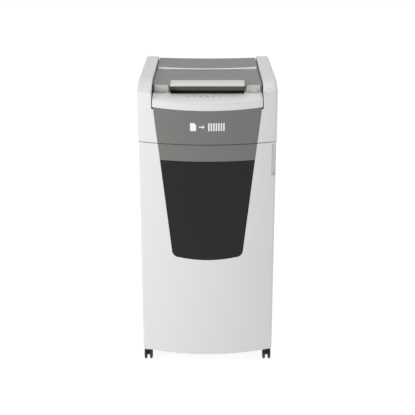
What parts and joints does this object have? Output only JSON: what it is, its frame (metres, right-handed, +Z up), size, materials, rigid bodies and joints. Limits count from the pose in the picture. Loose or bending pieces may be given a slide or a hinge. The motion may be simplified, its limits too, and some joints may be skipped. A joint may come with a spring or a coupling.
{
  "type": "paper shredder",
  "caption": "Tall office paper shredder on casters with a bowed front, side-hung door with smoked window, bin, lidded feed tray and cutter drive.",
  "frame": {"origin": "centre of the footprint on the floor plane, under the casters", "axes": "+Z up, +Y to the back, -Y the front with the door, +X to the right seen from the front"},
  "size_m": [0.422, 0.56, 0.933],
  "materials": {
    "white_plastic": "fine satin texture",
    "white_steel": "powder coat",
    "grey_plastic": "fine satin texture",
    "lid_plastic": "fine satin texture",
    "pale_plastic": "satin",
    "smoked_window": "polished",
    "black_plastic": "moulded",
    "tyre": "satin",
    "zinc_steel": "zinc plated",
    "tool_steel": "ground and oiled",
    "circuit_board": "solder mask",
    "nylon": "moulded",
    "roller_rubber": "ground"
  },
  "bodies": {
    "cabinet": {"base_tray": "black_plastic", "caster_sockets": "zinc_steel", "side_panel_left": "white_steel", "side_panel_right": "white_steel", "back_panel": "white_steel", "front_frame": "pale_plastic", "deck_frame": "zinc_steel", "bin_runners": "nylon", "door_hinge_bottom": "zinc_steel", "door_hinge_top": "zinc_steel", "door_switch": "black_plastic", "shoulder_left": "white_plastic", "shoulder_right": "white_plastic", "front_panel": "grey_plastic", "control_strip": "white_plastic", "control_boards": "circuit_board", "power_board": "circuit_board", "rear_cover": "white_plastic", "cord_inlet": "black_plastic", "power_switch": "black_plastic", "cover_screws": "zinc_steel", "lid_hinge_pins": "zinc_steel", "paper_tray": "black_plastic", "block_plate_left": "zinc_steel", "block_plate_right": "zinc_steel", "tie_rods": "zinc_steel", "cutter_bearings": "zinc_steel", "strippers": "tool_steel", "motor": "zinc_steel", "feed_belts": "roller_rubber"},
    "door": {"door_shell": "white_plastic", "door_window": "smoked_window", "door_trim": "grey_plastic", "door_liner": "pale_plastic", "door_grip": "pale_plastic"},
    "lid": {"lid": "lid_plastic", "lid_handle": "pale_plastic", "lid_corners": "pale_plastic", "lid_liner": "black_plastic", "platen_springs": "zinc_steel"},
    "platen": {"pressure_plate": "nylon"},
    "bin": {"bin": "black_plastic"},
    "front_cutter": {"cutter_front": "tool_steel", "cutter_gear_front": "tool_steel"},
    "rear_cutter": {"cutter_rear": "tool_steel", "cutter_gear_rear": "tool_steel", "drive_gear": "tool_steel"},
    "reduction": {"reduction_gear": "nylon"},
    "rotor": {"motor_shaft": "tool_steel"},
    "front_feed": {"feed_shaft_front": "roller_rubber"},
    "rear_feed": {"feed_shaft_rear": "roller_rubber"},
    "rocker": {"power_rocker": "black_plastic"},
    "caster_fl": {"caster_fl_fork": "black_plastic"},
    "wheels_fl": {"caster_fl_wheels": "tyre"},
    "caster_fr": {"caster_fr_fork": "black_plastic"},
    "wheels_fr": {"caster_fr_wheels": "tyre"},
    "caster_rl": {"caster_rl_fork": "black_plastic"},
    "wheels_rl": {"caster_rl_wheels": "tyre"},
    "caster_rr": {"caster_rr_fork": "black_plastic"},
    "wheels_rr": {"caster_rr_wheels": "tyre"}
  },
  "joints": [
    {"name": "door_swing", "type": "hinge", "parent": "cabinet", "child": "door", "pos_m": [-0.197, -0.22674, 0.4], "axis": [0, 0, -1], "range_deg": [0, 110]},
    {"name": "lid_lift", "type": "hinge", "parent": "cabinet", "child": "lid", "pos_m": [0, 0.254, 0.904], "axis": [-1, 0, 0], "range_deg": [0, 70]},
    {"name": "platen_press", "type": "slide", "parent": "lid", "child": "platen", "axis": [0, 0, 1], "range_m": [0, 0.008], "stiffness_N_per_m": 600, "springref_m": -0.012, "deforming": ["platen_springs"]},
    {"name": "bin_slide", "type": "slide", "parent": "cabinet", "child": "bin", "axis": [0, -1, 0], "range_m": [0, 0.012]},
    {"name": "cutter_spin", "type": "hinge", "parent": "cabinet", "child": "front_cutter", "pos_m": [0, 0.031, 0.8], "axis": [1, 0, 0], "continuous": true},
    {"name": "rear_cutter_spin", "type": "hinge", "parent": "cabinet", "child": "rear_cutter", "pos_m": [0, 0.069, 0.8], "axis": [1, 0, 0], "continuous": true},
    {"name": "reduction_spin", "type": "hinge", "parent": "cabinet", "child": "reduction", "pos_m": [0, 0.109, 0.8], "axis": [1, 0, 0], "continuous": true},
    {"name": "motor_spin", "type": "hinge", "parent": "cabinet", "child": "rotor", "pos_m": [0, 0.144, 0.8], "axis": [1, 0, 0], "continuous": true},
    {"name": "front_feed_spin", "type": "hinge", "parent": "cabinet", "child": "front_feed", "pos_m": [0, 0.005, 0.833], "axis": [1, 0, 0], "continuous": true},
    {"name": "rear_feed_spin", "type": "hinge", "parent": "cabinet", "child": "rear_feed", "pos_m": [0, 0.095, 0.833], "axis": [1, 0, 0], "continuous": true},
    {"name": "rocker_tilt", "type": "hinge", "parent": "cabinet", "child": "rocker", "pos_m": [-0.062, 0.274, 0.79], "axis": [-1, 0, 0], "range_deg": [0, 14]},
    {"name": "caster_fl_swivel", "type": "hinge", "parent": "cabinet", "child": "caster_fl", "pos_m": [-0.1955, -0.18, 0.0525], "axis": [0, 0, 1], "continuous": true},
    {"name": "caster_fl_roll", "type": "hinge", "parent": "caster_fl", "child": "wheels_fl", "pos_m": [-0.1955, -0.195, 0.02], "axis": [1, 0, 0], "continuous": true},
    {"name": "caster_fr_swivel", "type": "hinge", "parent": "cabinet", "child": "caster_fr", "pos_m": [0.1955, -0.18, 0.0525], "axis": [0, 0, 1], "continuous": true},
    {"name": "caster_fr_roll", "type": "hinge", "parent": "caster_fr", "child": "wheels_fr", "pos_m": [0.1955, -0.195, 0.02], "axis": [1, 0, 0], "continuous": true},
    {"name": "caster_rl_swivel", "type": "hinge", "parent": "cabinet", "child": "caster_rl", "pos_m": [-0.1955, 0.236, 0.0525], "axis": [0, 0, 1], "continuous": true},
    {"name": "caster_rl_roll", "type": "hinge", "parent": "caster_rl", "child": "wheels_rl", "pos_m": [-0.1955, 0.221, 0.02], "axis": [1, 0, 0], "continuous": true},
    {"name": "caster_rr_swivel", "type": "hinge", "parent": "cabinet", "child": "caster_rr", "pos_m": [0.1955, 0.236, 0.0525], "axis": [0, 0, 1], "continuous": true},
    {"name": "caster_rr_roll", "type": "hinge", "parent": "caster_rr", "child": "wheels_rr", "pos_m": [0.1955, 0.221, 0.02], "axis": [1, 0, 0], "continuous": true}
  ],
  "couplings": [
    {"joint": "rear_cutter_spin", "follows": "cutter_spin", "ratio": -1},
    {"joint": "reduction_spin", "follows": "cutter_spin", "ratio": 3},
    {"joint": "motor_spin", "follows": "cutter_spin", "ratio": -12},
    {"joint": "front_feed_spin", "follows": "cutter_spin", "ratio": 1},
    {"joint": "rear_feed_spin", "follows": "cutter_spin", "ratio": -1}
  ]
}
